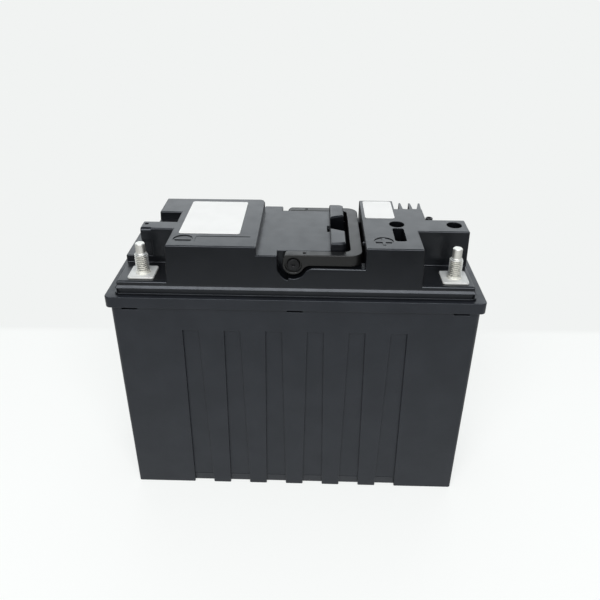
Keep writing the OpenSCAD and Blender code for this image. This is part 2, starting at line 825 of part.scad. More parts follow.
// Outline of the folded handle seen from above: two arms joined by the grip bar
module handle_plan() {
    difference() {
        tongue(heel_x, handle_x1, handle_y, handle_corner_r);
        tongue(heel_x - cut, handle_in_x, handle_in_y, handle_inner_r);
    }
}

// Outline of one eye and the fillet that joins it to its arm, about the pivot and seen from the front
module eye_outline() {
    arm_middle = handle_z + handle_h / 2 - pivot_z;
    circle(eye_r);
    difference() {
        polygon([[0, 0], [fillet_x, fillet_z], [fillet_x, arm_middle], [0, arm_middle]]);
        translate([fillet_x, fillet_z]) circle(eye_fillet);
    }
}

// U-shaped handle that folds flat round the platform and swings up on two pins
module carry_handle() {
    color("#303134") difference() {
        union() {
            translate([0, 0, handle_z]) linear_extrude(height = handle_h) handle_plan();
            for (side = [0, 1]) mirror([0, side, 0]) {
                translate([pivot_x, -handle_in_y, pivot_z]) rotate([90, 0, 0])
                    linear_extrude(height = handle_arm) eye_outline();
            }
        }
        for (side = [0, 1]) mirror([0, side, 0]) {
            round_bar(pivot_x, pivot_z, -rim_y, 0, pin_r + fit_gap);
            round_bar(pivot_x, pivot_z, -rim_y, -handle_y + pin_recess, pin_r + pin_recess);
            translate([pivot_x + eye_r, -handle_y + handle_arm / 2, platform_z - dimple_depth])
                cylinder(r = dimple_r, h = block_h);
        }
        difference() {
            box([heel_x - cut, -rim_y, platform_z - heel_r], [heel_x + heel_r, rim_y, platform_z + cut]);
            round_bar(heel_x + heel_r, platform_z - heel_r, -rim_y - cut, rim_y + cut, heel_r);
        }
    }
}

// Plain pivot pin from the handle's outer face into the cover, with a dimple in its end
module handle_pin() {
    difference() {
        round_bar(pivot_x, pivot_z, -handle_y + pin_sink, -bay_y + pin_seat - part_gap, pin_r);
        round_bar(pivot_x, pivot_z, -rim_y, -handle_y + pin_sink + cut, pin_tip_r);
    }
}

module handle_pin_front() {
    color("#3a3b3e") handle_pin();
}

module handle_pin_back() {
    color("#3a3b3e") mirror([0, 1, 0]) handle_pin();
}

// Square plate under a stud, with a leg through the deck to the bar inside
module terminal_plate(x) {
    color("#d7d7d4") difference() {
        union() {
            translate([x, stud_y, deck_z])
                round_plate(plate_size / 2, plate_size / 2, plate_t, plate_r);
            box([x - leg_w / 2, leg_y - plate_t, board_z1],
                [x + leg_w / 2, leg_y, deck_z + plate_t / 2]);
        }
        translate([x, stud_y, rim_z]) cylinder(r = collar_r + fit_gap, h = block_h);
    }
}

module negative_plate() {
    terminal_plate(negative_x);
}

module positive_plate() {
    terminal_plate(positive_x);
}

// Stud: a head below the plate, a collar through it, a full-size shank and a tip that guides the nut
module terminal_stud(x) {
    chamfer = stud_r - tip_r;
    color("#cfcfca") translate([x, stud_y, 0]) rotate_extrude()
        polygon([
            [0, stud_z], [stud_head_r, stud_z], [stud_head_r, deck_z],
            [collar_r, deck_z], [collar_r, plate_z], [stud_r, plate_z],
            [stud_r, stud_top_z - chamfer], [tip_r, stud_top_z],
            [tip_r, stud_top_z + tip_len], [0, stud_top_z + tip_len]
        ]);
}

module negative_stud() {
    terminal_stud(negative_x);
}

module positive_stud() {
    terminal_stud(positive_x);
}

// A bare label on top of a block, from its front left corner
module label(low, width, back_y) {
    color("#f2f2ef") translate([low.x, low.y, block_z])
        linear_extrude(height = label_t) round_rect([width, back_y - low.y], label_r);
}

module rating_label() {
    label(rating_label_low, rating_label_w, rating_label_back);
}

module code_label() {
    label(code_label_low, code_label_w, code_label_back);
}

// Flat-sided cell in a welded can, with two terminals and a vent pressed into its top
module cell(i) {
    vent_w = 14;
    vent_d = 8;
    vent_depth = 0.6;
    vent_corner_r = 3.9;
    color("#8fa3b5") translate([cell_x(i), 0, 0]) difference() {
        union() {
            translate([0, 0, floor_t]) round_plate(cell_t / 2, cell_d / 2, cell_z1 - floor_t, cell_r);
            for (side = [-1, 1]) translate([0, side * post_y, cell_z1 - cut])
                cylinder(r = post_r, h = post_h + cut);
        }
        translate([-vent_w / 2, -vent_d / 2, cell_z1 - vent_depth])
            linear_extrude(height = cut) round_rect([vent_w, vent_d], vent_corner_r);
    }
}

module cell_1() {
    cell(0);
}

module cell_2() {
    cell(1);
}

module cell_3() {
    cell(2);
}

module cell_4() {
    cell(3);
}

// Insulating sheets between the cells
module cell_spacers() {
    color("#e6e2d3") for (i = [0 : cell_count - 2]) {
        translate([cell_x(i) + cell_t / 2, -cell_d / 2, floor_t])
            cube([spacer_t, cell_d, cell_z1 - floor_t]);
    }
}

// Foam pads that press the row of cells together
module end_pads() {
    color("#44474a") for (side = [0, 1]) mirror([side, 0, 0])
        translate([room_x - end_pad_t, -cell_d / 2 + cell_r, floor_t])
            cube([end_pad_t, cell_d - 2 * cell_r, cell_z1 - floor_t]);
}

// Moulded tray on top of the cells that holds the links, the board and the cover's screws
module cell_carrier() {
    tray_gap = 1;
    tray_x = room_x - tray_gap;
    tray_r = 2;
    vent_w = 18;
    vent_d = 12;
    vent_corner_r = 4;
    color("#d9d9d4") difference() {
        union() {
            translate([0, 0, cell_z1]) round_plate(tray_x, cell_d / 2, post_h, tray_r);
            for (place = stand_places) translate([place.x, place.y, cell_z1])
                cylinder(r = stand_r, h = board_z - cell_z1);
            for (place = screw_places) translate([place.x, place.y, cell_z1])
                cylinder(r = screw_post_r, h = hollow_z - cell_z1 - part_gap);
        }
        for (i = [0 : cell_count - 1]) {
            for (side = [-1, 1]) translate([cell_x(i), side * post_y, cell_z1 - cut])
                cylinder(r = post_r + part_gap, h = post_h + 2 * cut);
            translate([cell_x(i) - vent_w / 2, -vent_d / 2, cell_z1 - cut])
                linear_extrude(height = post_h + 2 * cut) round_rect([vent_w, vent_d], vent_corner_r);
        }
        for (place = stand_places) translate([place.x, place.y, board_z - board_screw_len])
            cylinder(r = stand_hole_r, h = block_h);
        for (place = screw_places) translate([place.x, place.y, screw_floor_z - screw_len - part_gap])
            cylinder(r = screw_r + fit_gap, h = block_h);
    }
}

// Flat links that join the cells in series, in turn at the back and at the front
module cell_links() {
    color("#c3c5c8") for (i = [0 : cell_count - 2]) {
        translate([cell_x(i), link_side(i) * post_y, link_z]) linear_extrude(height = link_t) {
            translate([0, -link_w / 2]) square([cell_step, link_w]);
            circle(link_w / 2);
            translate([cell_step, 0]) circle(link_w / 2);
        }
    }
}

// Bar from the first cell's free terminal up to the circuit board
module negative_cell_bar() {
    riser_x = board_x - part_gap - link_t;
    top_z = board_z1 + link_t;
    bar_back_y = bar_front_y + bar_w;
    color("#b87347") {
        translate([cell_x(0), -post_y, link_z]) cylinder(r = link_w / 2, h = link_t);
        box([cell_x(0), bar_front_y, link_z], [riser_x + link_t, bar_back_y, link_z + link_t]);
        box([riser_x, bar_front_y, link_z], [riser_x + link_t, bar_back_y, top_z]);
        box([riser_x, bar_front_y, board_z1], [pad_x1, bar_back_y, top_z]);
    }
}

// Bar from the circuit board to the negative plate's leg
module negative_output_bar() {
    color("#b87347")
        box([negative_x - leg_w / 2, leg_y, board_z1],
            [pad_x1, leg_y + output_w, board_z1 + link_t]);
}

// Bar from the last cell's free terminal to the positive plate's leg
module positive_cell_bar() {
    last_x = cell_x(cell_count - 1);
    leg_x1 = positive_x + leg_w / 2;
    bar_z1 = link_z + link_t;
    color("#b87347") {
        box([last_x - link_w / 2, bar_front_y, link_z], [leg_x1, bar_front_y + link_w, bar_z1]);
        box([sense_end_x - bar_w / 2, bar_front_y, link_z], [last_x, bar_front_y + bar_w, bar_z1]);
        box([positive_x - leg_w / 2, leg_y, link_z], [leg_x1, leg_y + link_t, board_z1 + 2 * link_t]);
    }
}

// Battery management board on the carrier's stands
module circuit_board() {
    color("#2f6b45") difference() {
        box([board_x, -board_y, board_z], [board_x1, board_y, board_z1]);
        for (place = stand_places) translate([place.x, place.y, board_z - cut])
            cylinder(r = stand_hole_r + part_gap, h = board_t + 2 * cut);
        for (place = screw_places) translate([place.x, place.y, board_z - cut])
            cylinder(r = screw_post_r + part_gap, h = board_t + 2 * cut);
    }
}

// Row of power transistors that switch the battery's current
module power_switches() {
    color("#1b1b1d") for (i = [0 : switch_count - 1]) {
        translate([switch_low.x + i * switch_step, switch_low.y, board_z1]) cube(switch_size);
    }
}

// Flat resistor that the board measures the current with
module current_shunt() {
    color("#9a7b5a") translate([shunt_low.x, shunt_low.y, board_z1]) cube(shunt_size);
}

// Small screws that hold the board on its stands
module board_screws() {
    color("#8c8f93") for (place = stand_places) translate([place.x, place.y, board_z1]) {
        cylinder(r = board_screw_head_r, h = board_screw_head_h);
        translate([0, 0, -board_screw_len]) cylinder(r = board_screw_r, h = board_screw_len + cut);
    }
}

// Pins from the links up to the board, one for each cell voltage that it watches
module sense_pins() {
    color("#d9b64a") for (place = sense_places) {
        translate([place.x, place.y, link_z + link_t]) cylinder(r = sense_r, h = sense_h);
    }
}

case_tub();
cover_gasket();
top_cover();
cover_screws();
vent_nozzle();
carry_handle();
handle_pin_front();
handle_pin_back();
negative_plate();
positive_plate();
negative_stud();
positive_stud();
rating_label();
code_label();
cell_1();
cell_2();
cell_3();
cell_4();
cell_spacers();
end_pads();
cell_carrier();
cell_links();
negative_cell_bar();
negative_output_bar();
positive_cell_bar();
circuit_board();
power_switches();
current_shunt();
board_screws();
sense_pins();
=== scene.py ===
import math

import bmesh
import bpy
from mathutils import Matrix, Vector


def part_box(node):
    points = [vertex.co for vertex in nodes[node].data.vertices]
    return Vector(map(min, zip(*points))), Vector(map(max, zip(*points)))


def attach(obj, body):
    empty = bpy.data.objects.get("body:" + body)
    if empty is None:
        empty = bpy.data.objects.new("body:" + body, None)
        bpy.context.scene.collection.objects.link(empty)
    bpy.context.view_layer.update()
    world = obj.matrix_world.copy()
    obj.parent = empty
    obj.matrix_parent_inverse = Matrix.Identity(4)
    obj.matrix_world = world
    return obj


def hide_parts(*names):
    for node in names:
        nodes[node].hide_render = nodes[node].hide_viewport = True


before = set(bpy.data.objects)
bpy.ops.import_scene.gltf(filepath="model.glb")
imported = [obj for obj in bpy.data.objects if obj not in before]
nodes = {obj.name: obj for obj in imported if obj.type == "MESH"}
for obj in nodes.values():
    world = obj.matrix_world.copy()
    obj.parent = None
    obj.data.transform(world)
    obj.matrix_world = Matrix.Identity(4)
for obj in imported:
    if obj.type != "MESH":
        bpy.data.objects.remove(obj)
scene = bpy.context.scene
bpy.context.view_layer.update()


# Case tub: the open black box that holds the cells, injection moulded in one piece from filled plastic.
# A stout rim runs round its mouth, upright grooves stiffen its long walls, and its skin has a fine grain.
weld_distance = 0.000002
flat_angle = math.radians(0.02)
sharp_angle = math.radians(25)
crease_angle = math.radians(24)
edge_segments = 4
foot_height = 0.002
tub_room = ((-0.1055, -0.0392, foot_height), (0.1055, 0.0392, 0.2))
tub_foot_edge = 0.0008
tub_edge = 0.0004
# Painted reflection: a blue tint on the plastics' gloss stands in for the bluish light of the room that
# they mirror.
painted_blue_reflection_tint = (0.87, 0.92, 1, 1)


def select_alone(piece):
    """Leaves one piece selected and active, because an operator acts on all that is selected."""
    bpy.ops.object.select_all(action="DESELECT")
    piece.select_set(True)
    bpy.context.view_layer.objects.active = piece


def moulded_copy(node, name):
    """A copy of a node's solid with its loose triangles merged into whole faces, without a material."""
    piece = bpy.data.objects.new(name, nodes[node].data.copy())
    scene.collection.objects.link(piece)
    piece.data.materials.clear()
    select_alone(piece)
    bpy.ops.object.mode_set(mode="EDIT")
    bpy.ops.mesh.select_all(action="SELECT")
    bpy.ops.mesh.remove_doubles(threshold=weld_distance)
    bpy.ops.mesh.dissolve_limited(angle_limit=flat_angle)
    bpy.ops.mesh.customdata_custom_splitnormals_clear()
    bpy.ops.object.mode_set(mode="OBJECT")
    return piece


def round_edges(piece, radius_of):
    """Rounds a piece's sharp edges. radius_of(middle, outer) gives an edge's radius in metres from its
    middle point, where outer says whether the edge stands out or lies in a corner."""
    select_alone(piece)
    bpy.ops.object.mode_set(mode="EDIT")
    shape = bmesh.from_edit_mesh(piece.data)
    weights = shape.edges.layers.float.new("bevel_weight_edge")
    radii = {}
    for edge in shape.edges:
        if edge.calc_face_angle(0) > sharp_angle:
            middle = (edge.verts[0].co + edge.verts[1].co) / 2
            radii[edge] = radius_of(middle, edge.is_convex)
    widest = max(radii.values())
    for edge, radius in radii.items():
        edge[weights] = radius / widest
    bmesh.update_edit_mesh(piece.data)
    bpy.ops.object.mode_set(mode="OBJECT")
    rounding = piece.modifiers.new("rounding", "BEVEL")
    rounding.width = widest
    rounding.segments = edge_segments
    rounding.limit_method = "WEIGHT"
    rounding.use_clamp_overlap = False
    rounding.loop_slide = False
    bpy.ops.object.modifier_apply(modifier=rounding.name)


def smooth_faces(piece):
    """Shades the rounded edges smooth and keeps the large faces flat and the creases crisp."""
    select_alone(piece)
    bpy.ops.object.shade_smooth_by_angle(angle=crease_angle)
    weighting = piece.modifiers.new("flat_faces", "WEIGHTED_NORMAL")
    weighting.keep_sharp = True
    bpy.ops.object.modifier_apply(modifier=weighting.name)


def new_finish(name):
    """A new material, with its node tree, its shader and the object coordinates for its patterns."""
    finish = bpy.data.materials.new(name)
    finish.use_nodes = True
    tree = finish.node_tree
    place = tree.nodes.new("ShaderNodeTexCoord").outputs["Object"]
    return finish, tree, tree.nodes["Principled BSDF"], place


def clouds(tree, place, size, detail=2.0):
    """A cloudy pattern with patches of about this size in metres."""
    noise = tree.nodes.new("ShaderNodeTexNoise")
    noise.inputs["Scale"].default_value = 1 / size
    noise.inputs["Detail"].default_value = detail
    tree.links.new(place, noise.inputs["Vector"])
    return noise.outputs["Fac"]


def shades(tree, pattern, stops):
    """Colours that follow a pattern through stops of (value of the pattern, colour)."""
    ramp = tree.nodes.new("ShaderNodeValToRGB")
    elements = ramp.color_ramp.elements
    elements.remove(elements[1])
    elements[0].position, elements[0].color = stops[0]
    for value, colour in stops[1:]:
        elements.new(value).color = colour
    tree.links.new(pattern, ramp.inputs["Fac"])
    return ramp.outputs["Color"]


def tint(tree, pattern, shader, dark, light, low=0.35, high=0.65):
    """Colours a shader from dark to light where a pattern goes from low to high."""
    tree.links.new(shades(tree, pattern, [(low, dark), (high, light)]), shader.inputs["Base Color"])


def follow(tree, pattern, low, high, first, last, way="LINEAR"):
    """A value that goes from first to last where a pattern goes from low to high."""
    change = tree.nodes.new("ShaderNodeMapRange")
    change.interpolation_type = way
    change.inputs["From Min"].default_value = low
    change.inputs["From Max"].default_value = high
    change.inputs["To Min"].default_value = first
    change.inputs["To Max"].default_value = last
    tree.links.new(pattern, change.inputs["Value"])
    return change.outputs["Result"]


def sheen_spread(tree, pattern, shader, smooth, rough, low=0.3, high=0.7):
    """Lets a shader's roughness wander from smooth to rough where a pattern goes from low to high."""
    tree.links.new(follow(tree, pattern, low, high, smooth, rough), shader.inputs["Roughness"])


def relief(tree, pattern, shader, depth, strength):
    """Raises a pattern on a shader's surface, as relief of this depth in metres."""
    bump = tree.nodes.new("ShaderNodeBump")
    bump.inputs["Distance"].default_value = depth
    bump.inputs["Strength"].default_value = strength
    tree.links.new(pattern, bump.inputs["Height"])
    tree.links.new(bump.outputs["Normal"], shader.inputs["Normal"])


def moulded_plastic(name, dark, light, smooth, rough, grain, depth, gloss_tint=(1, 1, 1, 1)):
    """Moulded plastic: colour and sheen wander a little over the part, and the mould left a grain. A gloss
    tint, where given, is a painted reflection colour.
    """
    finish, tree, shader, place = new_finish(name)
    shader.inputs["Specular Tint"].default_value = gloss_tint
    tint(tree, clouds(tree, place, size=0.018, detail=4), shader, dark, light)
    sheen_spread(tree, clouds(tree, place, size=0.007, detail=5), shader, smooth, rough)
    relief(tree, clouds(tree, place, size=grain, detail=3), shader, depth, strength=0.6)
    return finish


def in_zone(point, zone):
    """Whether a point lies in a zone, which is given by its lowest and its highest corner."""
    low, high = zone
    return all(low[axis] < point[axis] < high[axis] for axis in range(3))


def tub_radius(middle, outer):
    """The tub's foot is rounded most, its rim and grooves less. Its inside and its corners stay sharp."""
    if in_zone(middle, tub_room) or not outer:
        return 0
    return tub_foot_edge if middle.z < foot_height else tub_edge


case_tub = moulded_copy("case_tub", "moulded_case_tub")
round_edges(case_tub, tub_radius)
smooth_faces(case_tub)
case_tub.data.materials.append(moulded_plastic(
    "grained_case_plastic", dark=(0.0048, 0.0058, 0.0082, 1), light=(0.0076, 0.0088, 0.0118, 1),
    smooth=0.36, rough=0.46, grain=0.0009, depth=0.00006, gloss_tint=painted_blue_reflection_tint))
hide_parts("case_tub")
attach(case_tub, "case")


# Cells: four flat-sided cells in a row. Each is a drawn aluminium can in a tight blue-grey film,
# which wrinkles a little over the can's edges.
def dress(node, finish):
    """Gives its finish to a node whose own solid is shown."""
    nodes[node].material_slots[0].material = finish


cell_film, tree, shader, place = new_finish("wrinkled_cell_film")
tint(tree, clouds(tree, place, size=0.030, detail=3), shader,
     dark=(0.020, 0.045, 0.085, 1), light=(0.035, 0.070, 0.120, 1))
sheen_spread(tree, clouds(tree, place, size=0.010, detail=4), shader, smooth=0.28, rough=0.42)
relief(tree, clouds(tree, place, size=0.012, detail=6), shader, depth=0.0003, strength=0.4)
for node in ("cell_1", "cell_2", "cell_3", "cell_4"):
    dress(node, cell_film)


# Cell spacers: stiff sheets of pressed fibre that keep the cells apart and insulate them. They are cut
# from a roll, with the fibres running upwards, and simply pushed in.
fibre_stretch = (1, 1, 0.2)


def stretched(tree, place, scale):
    """Coordinates in which a pattern is drawn out along the axes that have a scale below 1."""
    stretch = tree.nodes.new("ShaderNodeMapping")
    stretch.inputs["Scale"].default_value = scale
    tree.links.new(place, stretch.inputs["Vector"])
    return stretch.outputs["Vector"]


spacer_fibre, tree, shader, place = new_finish("pressed_fibre_sheet")
fibres = clouds(tree, stretched(tree, place, fibre_stretch), size=0.0012, detail=6)
tint(tree, fibres, shader, dark=(0.36, 0.27, 0.16, 1), light=(0.50, 0.40, 0.26, 1))
sheen_spread(tree, fibres, shader, smooth=0.7, rough=0.9)
relief(tree, fibres, shader, depth=0.0001, strength=0.5)
dress("cell_spacers", spacer_fibre)


# End pads: blocks of closed-cell foam at both ends of the row, cut with a hot wire. They are squeezed in,
# so that they press the cells together.
pores_per_metre = 700
pad_foam, tree, shader, place = new_finish("closed_cell_foam")
pores = tree.nodes.new("ShaderNodeTexVoronoi")
pores.inputs["Scale"].default_value = pores_per_metre
tree.links.new(place, pores.inputs["Vector"])
tint(tree, pores.outputs["Distance"], shader,
     dark=(0.045, 0.045, 0.048, 1), light=(0.095, 0.095, 0.100, 1), low=0.1, high=0.6)
sheen_spread(tree, clouds(tree, place, size=0.004), shader, smooth=0.85, rough=0.98)
relief(tree, pores.outputs["Distance"], shader, depth=0.0005, strength=0.8)
dress("end_pads", pad_foam)


# Cell carrier: a tray moulded in pale natural plastic that lies on the cells, with stands for the board
# and posts for the cover's screws.
dress("cell_carrier", moulded_plastic(
    "natural_carrier_plastic", dark=(0.52, 0.51, 0.47, 1), light=(0.62, 0.61, 0.57, 1),
    smooth=0.42, rough=0.55, grain=0.0008, depth=0.00004))


# Cell links: punched aluminium straps that join the cells in series, laser welded to their terminals.
# They show the rolling lines of the sheet that they come from.
line_stretch = 0.04


def rolled_metal(name, dark, light, smooth, rough, run, depth=0.00003):
    """Rolled or turned metal with fine lines of this depth that run along X, Y or Z."""
    finish, tree, shader, place = new_finish(name)
    shader.inputs["Metallic"].default_value = 1
    scale = [line_stretch if axis == run else 1 for axis in "XYZ"]
    lines = clouds(tree, stretched(tree, place, scale), size=0.0006, detail=4)
    tint(tree, clouds(tree, place, size=0.006, detail=4), shader, dark, light)
    sheen_spread(tree, lines, shader, smooth, rough)
    relief(tree, lines, shader, depth, strength=0.5)
    return finish


dress("cell_links", rolled_metal(
    "rolled_aluminium", dark=(0.70, 0.71, 0.72, 1), light=(0.82, 0.83, 0.84, 1),
    smooth=0.30, rough=0.45, run="X"))


# Current bars: strips of bare copper, bent and punched, which carry the current from the first cell to
# the board, from the board to the negative plate, and from the last cell to the positive plate.
bar_copper = rolled_metal(
    "bare_copper", dark=(0.56, 0.24, 0.13, 1), light=(0.74, 0.38, 0.25, 1),
    smooth=0.28, rough=0.44, run="X")
for node in ("negative_cell_bar", "negative_output_bar", "positive_cell_bar"):
    dress(node, bar_copper)


# Circuit board: the glass-fibre board of the management circuit under green solder mask, with copper
# tracks that show through as paler bands.
track_scale = 90
track_width = 0.03
mask_dark = (0.010, 0.075, 0.030, 1)
mask_light = (0.014, 0.095, 0.040, 1)
mask_over_track = (0.040, 0.190, 0.075, 1)
board_laminate, tree, shader, place = new_finish("green_board_laminate")
tracks = tree.nodes.new("ShaderNodeTexBrick")
tracks.inputs["Scale"].default_value = track_scale
tracks.inputs["Mortar Size"].default_value = track_width
tracks.inputs["Color1"].default_value = mask_dark
tracks.inputs["Color2"].default_value = mask_light
tracks.inputs["Mortar"].default_value = mask_over_track
tree.links.new(place, tracks.inputs["Vector"])
tree.links.new(tracks.outputs["Color"], shader.inputs["Base Color"])
sheen_spread(tree, clouds(tree, place, size=0.003), shader, smooth=0.22, rough=0.34)
relief(tree, tracks.outputs["Fac"], shader, depth=0.00004, strength=0.5)
dress("circuit_board", board_laminate)


# Power switches: a row of transistors in pressed black epoxy, which switch the battery's current.
# They are soldered flat on the board.
dress("power_switches", moulded_plastic(
    "pressed_epoxy", dark=(0.014, 0.014, 0.014, 1), light=(0.024, 0.024, 0.024, 1),
    smooth=0.55, rough=0.70, grain=0.0004, depth=0.00003))


# Current shunt: a flat strip of resistance alloy, through which the board measures the current. It is
# stamped from rolled sheet and soldered to the board.
dress("current_shunt", rolled_metal(
    "resistance_alloy", dark=(0.40, 0.33, 0.27, 1), light=(0.54, 0.46, 0.40, 1),
    smooth=0.32, rough=0.46, run="X"))


# Board screws: small screws of zinc-plated steel with low round heads, which hold the board on the
# carrier's stands.
dress("board_screws", rolled_metal(
    "zinc_plate", dark=(0.52, 0.53, 0.55, 1), light=(0.66, 0.67, 0.68, 1),
    smooth=0.26, rough=0.42, run="Z"))


# Sense pins: drawn brass pins that stand on the cell links and reach up to the board, which measures each
# cell through them.
dress("sense_pins", rolled_metal(
    "drawn_brass", dark=(0.62, 0.46, 0.17, 1), light=(0.76, 0.60, 0.28, 1),
    smooth=0.22, rough=0.36, run="Z"))


# Cover gasket: a ring of soft black rubber that seals the case. It lies in the rim's groove and is
# squeezed by the cover's lip.
dress("cover_gasket", moulded_plastic(
    "gasket_rubber", dark=(0.012, 0.012, 0.012, 1), light=(0.022, 0.022, 0.022, 1),
    smooth=0.72, rough=0.88, grain=0.0005, depth=0.00005))


# Top cover: the most complex moulding, in the tub's black plastic but with a satin face. It snaps into the
# rim and carries the terminal decks, the tall blocks, arms, fins, wells, and the platform in the handle.
# A round field with a bar in it and one with a cross are sunk into the blocks beside the studs.
under_cover, over_cover = 0.1, 0.2  # heights below and above the whole of it
sharp_zones = {
    # lowest and highest corner of what keeps its sharp edges
    "fins": ((0.0612, 0.0236, under_cover), (0.0800, 0.0380, over_cover)),
    "end of the hook": ((-0.0868, -0.0140, 0.1760), (-0.0858, -0.0115, over_cover)),
    "back step of the platform": ((-0.0265, 0.0355, under_cover), (-0.0215, 0.0395, over_cover)),
    "underside": ((-0.1030, -0.0390, under_cover), (0.1030, 0.0390, 0.1530)),
    "room in the left block": ((-0.0703, -0.0351, under_cover), (-0.0242, 0.0336, 0.1761)),
    "room in the platform": ((-0.0272, -0.0279, under_cover), (0.0178, 0.0279, 0.1710)),
    "room in the right block": ((0.0422, -0.0351, under_cover), (0.0696, 0.0211, 0.1761)),
    "back of that room": ((0.0422, -0.0351, under_cover), (0.0588, 0.0351, 0.1761)),
    "room in the right arm": ((0.0680, -0.0095, under_cover), (0.0987, 0.0037, 0.1761)),
}
small_zones = {
    # lowest and highest corner of what is rounded least
    "slot and inner well": ((0.0555, -0.0268, under_cover), (0.0649, 0.0028, over_cover)),
    "outer well": ((0.0899, -0.0067, under_cover), (0.0995, 0.0028, over_cover)),
    "hole in the hook": ((-0.0914, -0.0083, under_cover), (-0.0886, -0.0055, over_cover)),
    "nub": ((0.0385, -0.0235, under_cover), (0.0399, -0.0205, over_cover)),
    "sides of the platform": ((-0.0110, -0.0310, 0.1700), (0.0210, 0.0310, over_cover)),
}
small_edge = 0.0003
pin_axis_x, pin_axis_z = -0.0009, 0.1671
pin_socket_reach = 0.0040
plate_pockets = ((-0.1015, -0.0375, 0.1535), (0.1015, 0.0375, 0.1565))
hook_side = ((-0.1200, -0.0500, 0.1700), (-0.0923, 0.0500, over_cover))
hook_edge = 0.0006
lobes = ((0.0195, -0.0310, 0.1570), (0.0316, 0.0310, over_cover))
lobe_tops = 0.1778
lobe_edge = 0.0012
sills = ((0.0080, -0.0400, 0.1641), (0.0400, 0.0400, 0.1665))
sill_edge = 0.0012
deck_low, deck_high = 0.1555, 0.1565
deck_corner = 0.0007
cover_levels = (
    # (lowest height, radius of the other edges that stand out), from the top down
    (0.1780, 0.0008),
    (0.1565, 0.0006),
    (0.1555, 0.0013),
    (0.1535, 0.0006),
    (0.1475, 0.0003),
)
block_top = 0.1785
sign_radius = 0.00565
sign_depth = 0.0004
sign_sides = 64
sign_bar = 0.0017
sign_bar_length = 0.0092
minus_centre = (-0.0643, -0.0280)
plus_centre = (0.0503, -0.0270)
panel_centre = (-0.0417, -0.02775)
panel_size = (0.0314, 0.0085)
panel_depth = 0.0002
sunk_margin = 0.0003


def is_sunk(point):
    """Whether a point belongs to the sunk signs or the sunk panel, or lies close beside them."""
    at_sign = any((point.xy - Vector(centre)).length < sign_radius + sunk_margin
                  for centre in (minus_centre, plus_centre))
    at_panel = all(abs(point[axis] - panel_centre[axis]) < panel_size[axis] / 2 + sunk_margin
                   for axis in range(2))
    return point.z > block_top - 2 * sign_depth and (at_sign or at_panel)


def in_any(point, zones):
    """Whether a point lies in one of the named zones."""
    return any(in_zone(point, zone) for zone in zones.values())


def cover_radius(middle, outer):
    """The signs, the fins and what lies inside stay sharp. The lobes' tops and the sills under the handle
    are well rounded, and the slot, wells, sockets and plate pockets only a little. The other edges go by
    their height, and of the corners only those of the decks are filled."""
    if is_sunk(middle) or in_any(middle, sharp_zones):
        return 0
    if outer and in_zone(middle, hook_side):
        return hook_edge
    if in_zone(middle, lobes):
        return lobe_edge if outer and middle.z > lobe_tops else 0
    pin_socket = math.hypot(middle.x - pin_axis_x, middle.z - pin_axis_z) < pin_socket_reach
    if pin_socket or in_any(middle, small_zones):
        return small_edge if outer else 0
    if not outer:
        return deck_corner if deck_low < middle.z < deck_high else 0
    if in_zone(middle, plate_pockets):
        return small_edge
    if in_zone(middle, sills):
        return sill_edge
    return next((radius for lowest, radius in cover_levels if middle.z > lowest), 0)


def block_over(centre, length, width, depth):
    """A block that reaches this deep below the tops of the tall blocks, and as far above them."""
    bpy.ops.mesh.primitive_cube_add(size=1, location=(*centre, block_top))
    bpy.ops.transform.resize(value=(length, width, 2 * depth))
    bpy.ops.object.transform_apply()
    return bpy.context.object


def cut_away(piece, cutter):
    """Cuts one piece out of another and throws the cutter away."""
    select_alone(piece)
    cutting = piece.modifiers.new("cutting", "BOOLEAN")
    cutting.operation = "DIFFERENCE"
    cutting.object = cutter
    bpy.ops.object.modifier_apply(modifier=cutting.name)
    bpy.data.objects.remove(cutter)


def sink_sign(piece, centre, bars):
    """Sinks a round field into a tall block's top, with bars of (length, width) left standing in it."""
    bpy.ops.mesh.primitive_cylinder_add(
        vertices=sign_sides, radius=sign_radius, depth=2 * sign_depth, location=(*centre, block_top))
    field = bpy.context.object
    bpy.ops.object.transform_apply()
    for length, width in bars:
        cut_away(field, block_over(centre, length, width, 2 * sign_depth))
    cut_away(piece, field)


top_cover = moulded_copy("top_cover", "moulded_top_cover")
sink_sign(top_cover, minus_centre, [(sign_bar_length, sign_bar)])
sink_sign(top_cover, plus_centre, [(sign_bar_length, sign_bar), (sign_bar, sign_bar_length)])
cut_away(top_cover, block_over(panel_centre, *panel_size, panel_depth))
round_edges(top_cover, cover_radius)
smooth_faces(top_cover)
top_cover.data.materials.append(moulded_plastic(
    "satin_cover_plastic", dark=(0.0018, 0.0021, 0.0028, 1), light=(0.0030, 0.0034, 0.0044, 1),
    smooth=0.29, rough=0.36, grain=0.0006, depth=0.00002, gloss_tint=painted_blue_reflection_tint))
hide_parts("top_cover")
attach(top_cover, "case")


# Cover screws: two screws of dark steel at the bottom of the deep wells, which hold the cover down. They
# are driven into the carrier's posts.
dress("cover_screws", rolled_metal(
    "dark_screw_steel", dark=(0.20, 0.20, 0.21, 1), light=(0.32, 0.32, 0.33, 1),
    smooth=0.30, rough=0.46, run="Z"))


# Vent nozzle: a short hose stub of smooth black plastic behind the right arm, which lets gas out. It is
# moulded by itself and welded into the cover.
nozzle_edge = 0.0004


def outer_edge(radius):
    """Rounds every edge that stands out by one radius, and leaves the corners sharp."""
    return lambda middle, outer: radius if outer else 0


vent_nozzle = moulded_copy("vent_nozzle", "smooth_vent_nozzle")
round_edges(vent_nozzle, outer_edge(nozzle_edge))
smooth_faces(vent_nozzle)
vent_nozzle.data.materials.append(moulded_plastic(
    "smooth_nozzle_plastic", dark=(0.006, 0.006, 0.007, 1), light=(0.010, 0.010, 0.011, 1),
    smooth=0.30, rough=0.40, grain=0.0006, depth=0.00002))
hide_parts("vent_nozzle")
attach(vent_nozzle, "case")


